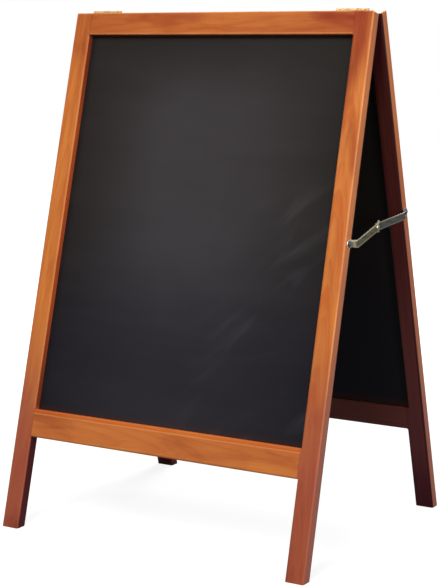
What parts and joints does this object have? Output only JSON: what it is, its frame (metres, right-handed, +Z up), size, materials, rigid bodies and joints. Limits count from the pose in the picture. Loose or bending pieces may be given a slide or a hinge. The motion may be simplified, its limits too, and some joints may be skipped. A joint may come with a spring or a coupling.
{
  "type": "sidewalk chalkboard sign",
  "caption": "Free-standing A-frame pavement sign: hinged timber frames carry black chalkboard panels, and folding steel side stays hold them apart.",
  "frame": {"origin": "on the ground, midway between the four feet", "axes": "+Z up; the front board faces -Y and the rear board faces +Y; +X is the right side as the front board is read"},
  "size_m": [0.5708, 0.4728, 0.8257],
  "materials": {
    "frame_timber": "stained and varnished pine, satin",
    "chalkboard": "hardboard with matt blackboard paint on both faces",
    "dowel_timber": "plain beech dowel",
    "blued_steel": "blued steel wire",
    "hinge_brass": "pale brass plate, satin",
    "screw_steel": "zinc plate",
    "stay_steel": "antique-bronzed strip, satin"
  },
  "bodies": {
    "front_frame": {"front_left_stile": "frame_timber", "front_right_stile": "frame_timber", "front_top_rail": "frame_timber", "front_bottom_rail": "frame_timber", "front_chalkboard": "chalkboard", "front_dowels": "dowel_timber", "front_board_pins": "blued_steel", "front_left_hinge_leaf": "hinge_brass", "front_right_hinge_leaf": "hinge_brass", "front_hinge_screws": "hinge_brass", "front_stay_screws": "screw_steel", "left_hinge_pin": "hinge_brass", "right_hinge_pin": "hinge_brass"},
    "rear_frame": {"rear_left_stile": "frame_timber", "rear_right_stile": "frame_timber", "rear_top_rail": "frame_timber", "rear_bottom_rail": "frame_timber", "rear_chalkboard": "chalkboard", "rear_dowels": "dowel_timber", "rear_board_pins": "blued_steel", "rear_left_hinge_leaf": "hinge_brass", "rear_right_hinge_leaf": "hinge_brass", "rear_hinge_screws": "hinge_brass", "rear_stay_screws": "screw_steel"},
    "left_front_link": {"left_front_stay_link": "stay_steel", "left_stay_rivet_head": "screw_steel"},
    "left_rear_link": {"left_rear_stay_link": "stay_steel", "left_stay_rivet_tail": "screw_steel"},
    "right_front_link": {"right_front_stay_link": "stay_steel", "right_stay_rivet_head": "screw_steel"},
    "right_rear_link": {"right_rear_stay_link": "stay_steel", "right_stay_rivet_tail": "screw_steel"}
  },
  "joints": [
    {"name": "frame_fold", "type": "hinge", "parent": "front_frame", "child": "rear_frame", "pos_m": [0, 0, 0.82298], "axis": [-1, 0, 0], "range_deg": [0, 29.2]},
    {"name": "left_front_link_turn", "type": "hinge", "parent": "front_frame", "child": "left_front_link", "pos_m": [-0.27605, -0.10173, 0.47746], "axis": [-1, 0, 0], "range_deg": [0, 109.22]},
    {"name": "left_rear_link_turn", "type": "hinge", "parent": "rear_frame", "child": "left_rear_link", "pos_m": [-0.27605, 0.09366, 0.50843], "axis": [1, 0, 0], "range_deg": [0, 92.43]},
    {"name": "right_front_link_turn", "type": "hinge", "parent": "front_frame", "child": "right_front_link", "pos_m": [0.27605, -0.10173, 0.47746], "axis": [-1, 0, 0], "range_deg": [0, 109.22]},
    {"name": "right_rear_link_turn", "type": "hinge", "parent": "rear_frame", "child": "right_rear_link", "pos_m": [0.27605, 0.09366, 0.50843], "axis": [1, 0, 0], "range_deg": [0, 92.43]}
  ],
  "couplings": [
    {"joint": "left_front_link_turn", "follows": "frame_fold", "ratio": 3.74},
    {"joint": "left_rear_link_turn", "follows": "frame_fold", "ratio": 3.1651},
    {"joint": "right_front_link_turn", "follows": "frame_fold", "ratio": 3.74},
    {"joint": "right_rear_link_turn", "follows": "frame_fold", "ratio": 3.1651}
  ]
}
